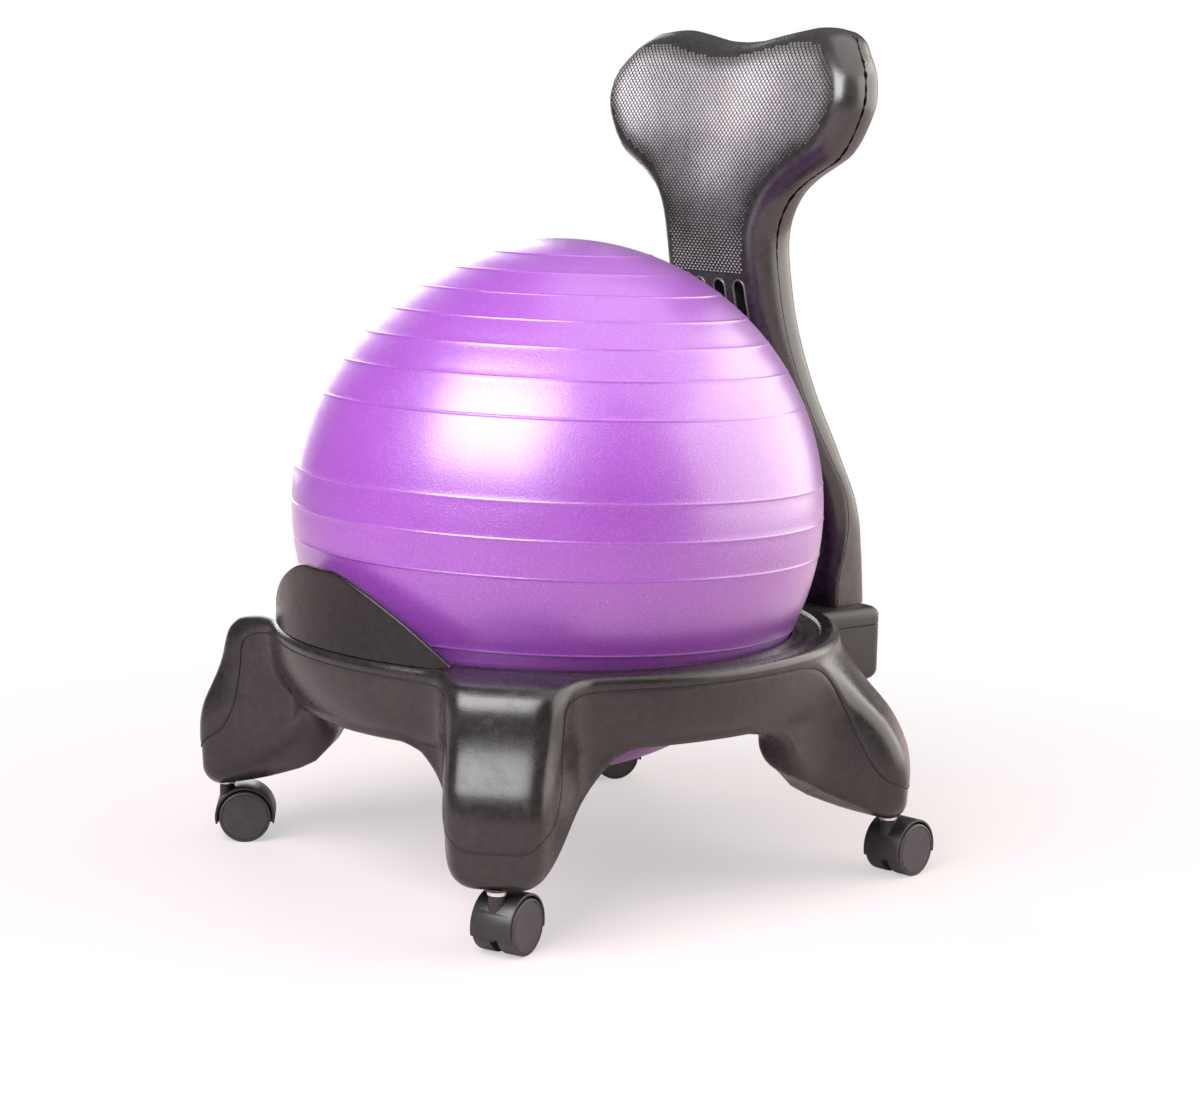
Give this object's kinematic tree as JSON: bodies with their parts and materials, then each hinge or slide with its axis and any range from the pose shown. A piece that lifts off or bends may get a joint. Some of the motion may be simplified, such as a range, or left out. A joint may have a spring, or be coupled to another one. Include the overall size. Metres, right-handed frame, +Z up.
{
  "type": "balance ball chair",
  "caption": "Inflated ribbed ball seated in a moulded ring base with flared legs on twin-wheel casters, a low front guard and a curved moulded back.",
  "frame": {"origin": "on the floor under the middle of the chair's bounding box", "axes": "+Z up along the longest extent, the chair faces -Y, the sitter's left hand is on +X"},
  "size_m": [0.533, 0.6042, 0.7898],
  "materials": {
    "base_plastic": "satin, finely grained",
    "guard_plastic": "satin",
    "back_plastic": "satin with a raised pattern on the front panel",
    "ball_vinyl": "pearly satin, finely mottled",
    "plug_vinyl": "satin",
    "caster_plastic": "satin",
    "wheel_plastic": "matt",
    "socket_nylon": "matt",
    "zinc_steel": "zinc plated",
    "spine_steel": "black powder coat"
  },
  "bodies": {
    "frame": {"base_moulding": "base_plastic", "front_guard": "guard_plastic", "back_front_shell": "back_plastic", "back_rear_shell": "back_plastic", "back_spine": "spine_steel", "shell_screw_1": "zinc_steel", "shell_screw_2": "zinc_steel", "shell_screw_3": "zinc_steel", "shell_screw_4": "zinc_steel", "shell_screw_5": "zinc_steel", "column_bolt_right": "zinc_steel", "column_bolt_left": "zinc_steel", "column_washer_right": "zinc_steel", "column_washer_left": "zinc_steel", "front_right_stem": "zinc_steel", "front_right_socket": "socket_nylon", "front_left_stem": "zinc_steel", "front_left_socket": "socket_nylon", "rear_left_stem": "zinc_steel", "rear_left_socket": "socket_nylon", "rear_right_stem": "zinc_steel", "rear_right_socket": "socket_nylon"},
    "ball": {"ball_skin": "ball_vinyl"},
    "plug": {"valve_plug": "plug_vinyl"},
    "front_right_caster": {"front_right_hood": "caster_plastic", "front_right_axle": "zinc_steel"},
    "front_right_outer": {"front_right_outer_wheel": "wheel_plastic"},
    "front_right_inner": {"front_right_inner_wheel": "wheel_plastic"},
    "front_left_caster": {"front_left_hood": "caster_plastic", "front_left_axle": "zinc_steel"},
    "front_left_outer": {"front_left_outer_wheel": "wheel_plastic"},
    "front_left_inner": {"front_left_inner_wheel": "wheel_plastic"},
    "rear_left_caster": {"rear_left_hood": "caster_plastic", "rear_left_axle": "zinc_steel"},
    "rear_left_outer": {"rear_left_outer_wheel": "wheel_plastic"},
    "rear_left_inner": {"rear_left_inner_wheel": "wheel_plastic"},
    "rear_right_caster": {"rear_right_hood": "caster_plastic", "rear_right_axle": "zinc_steel"},
    "rear_right_outer": {"rear_right_outer_wheel": "wheel_plastic"},
    "rear_right_inner": {"rear_right_inner_wheel": "wheel_plastic"}
  },
  "joints": [
    {"name": "ball_turn", "type": "hinge", "parent": "frame", "child": "ball", "pos_m": [0, -0.03499, 0.341], "axis": [0, 0, 1], "continuous": true},
    {"name": "plug_pull", "type": "slide", "parent": "ball", "child": "plug", "axis": [0, 0, -1], "range_m": [0, 0.012]},
    {"name": "front_right_swivel", "type": "hinge", "parent": "frame", "child": "front_right_caster", "pos_m": [-0.22661, -0.2616, 0.05], "axis": [0, 0, 1], "continuous": true},
    {"name": "front_right_outer_spin", "type": "hinge", "parent": "front_right_caster", "child": "front_right_outer", "pos_m": [-0.21681, -0.24651, 0.025], "axis": [0.8387, -0.5446, 0], "continuous": true},
    {"name": "front_right_inner_spin", "type": "hinge", "parent": "front_right_caster", "child": "front_right_inner", "pos_m": [-0.21681, -0.24651, 0.025], "axis": [0.8387, -0.5446, 0], "continuous": true},
    {"name": "front_left_swivel", "type": "hinge", "parent": "frame", "child": "front_left_caster", "pos_m": [0.22661, -0.2616, 0.05], "axis": [0, 0, 1], "continuous": true},
    {"name": "front_left_outer_spin", "type": "hinge", "parent": "front_left_caster", "child": "front_left_outer", "pos_m": [0.21987, -0.24491, 0.025], "axis": [0.9272, 0.3746, 0], "continuous": true},
    {"name": "front_left_inner_spin", "type": "hinge", "parent": "front_left_caster", "child": "front_left_inner", "pos_m": [0.21987, -0.24491, 0.025], "axis": [0.9272, 0.3746, 0], "continuous": true},
    {"name": "rear_left_swivel", "type": "hinge", "parent": "frame", "child": "rear_left_caster", "pos_m": [0.22661, 0.19162, 0.05], "axis": [0, 0, 1], "continuous": true},
    {"name": "rear_left_outer_spin", "type": "hinge", "parent": "rear_left_caster", "child": "rear_left_outer", "pos_m": [0.2238, 0.2094, 0.025], "axis": [0.9877, 0.1564, 0], "continuous": true},
    {"name": "rear_left_inner_spin", "type": "hinge", "parent": "rear_left_caster", "child": "rear_left_inner", "pos_m": [0.2238, 0.2094, 0.025], "axis": [0.9877, 0.1564, 0], "continuous": true},
    {"name": "rear_right_swivel", "type": "hinge", "parent": "frame", "child": "rear_right_caster", "pos_m": [-0.22661, 0.19162, 0.05], "axis": [0, 0, 1], "continuous": true},
    {"name": "rear_right_outer_spin", "type": "hinge", "parent": "rear_right_caster", "child": "rear_right_outer", "pos_m": [-0.22195, 0.20901, 0.025], "axis": [0.9659, -0.2588, 0], "continuous": true},
    {"name": "rear_right_inner_spin", "type": "hinge", "parent": "rear_right_caster", "child": "rear_right_inner", "pos_m": [-0.22195, 0.20901, 0.025], "axis": [0.9659, -0.2588, 0], "continuous": true}
  ]
}
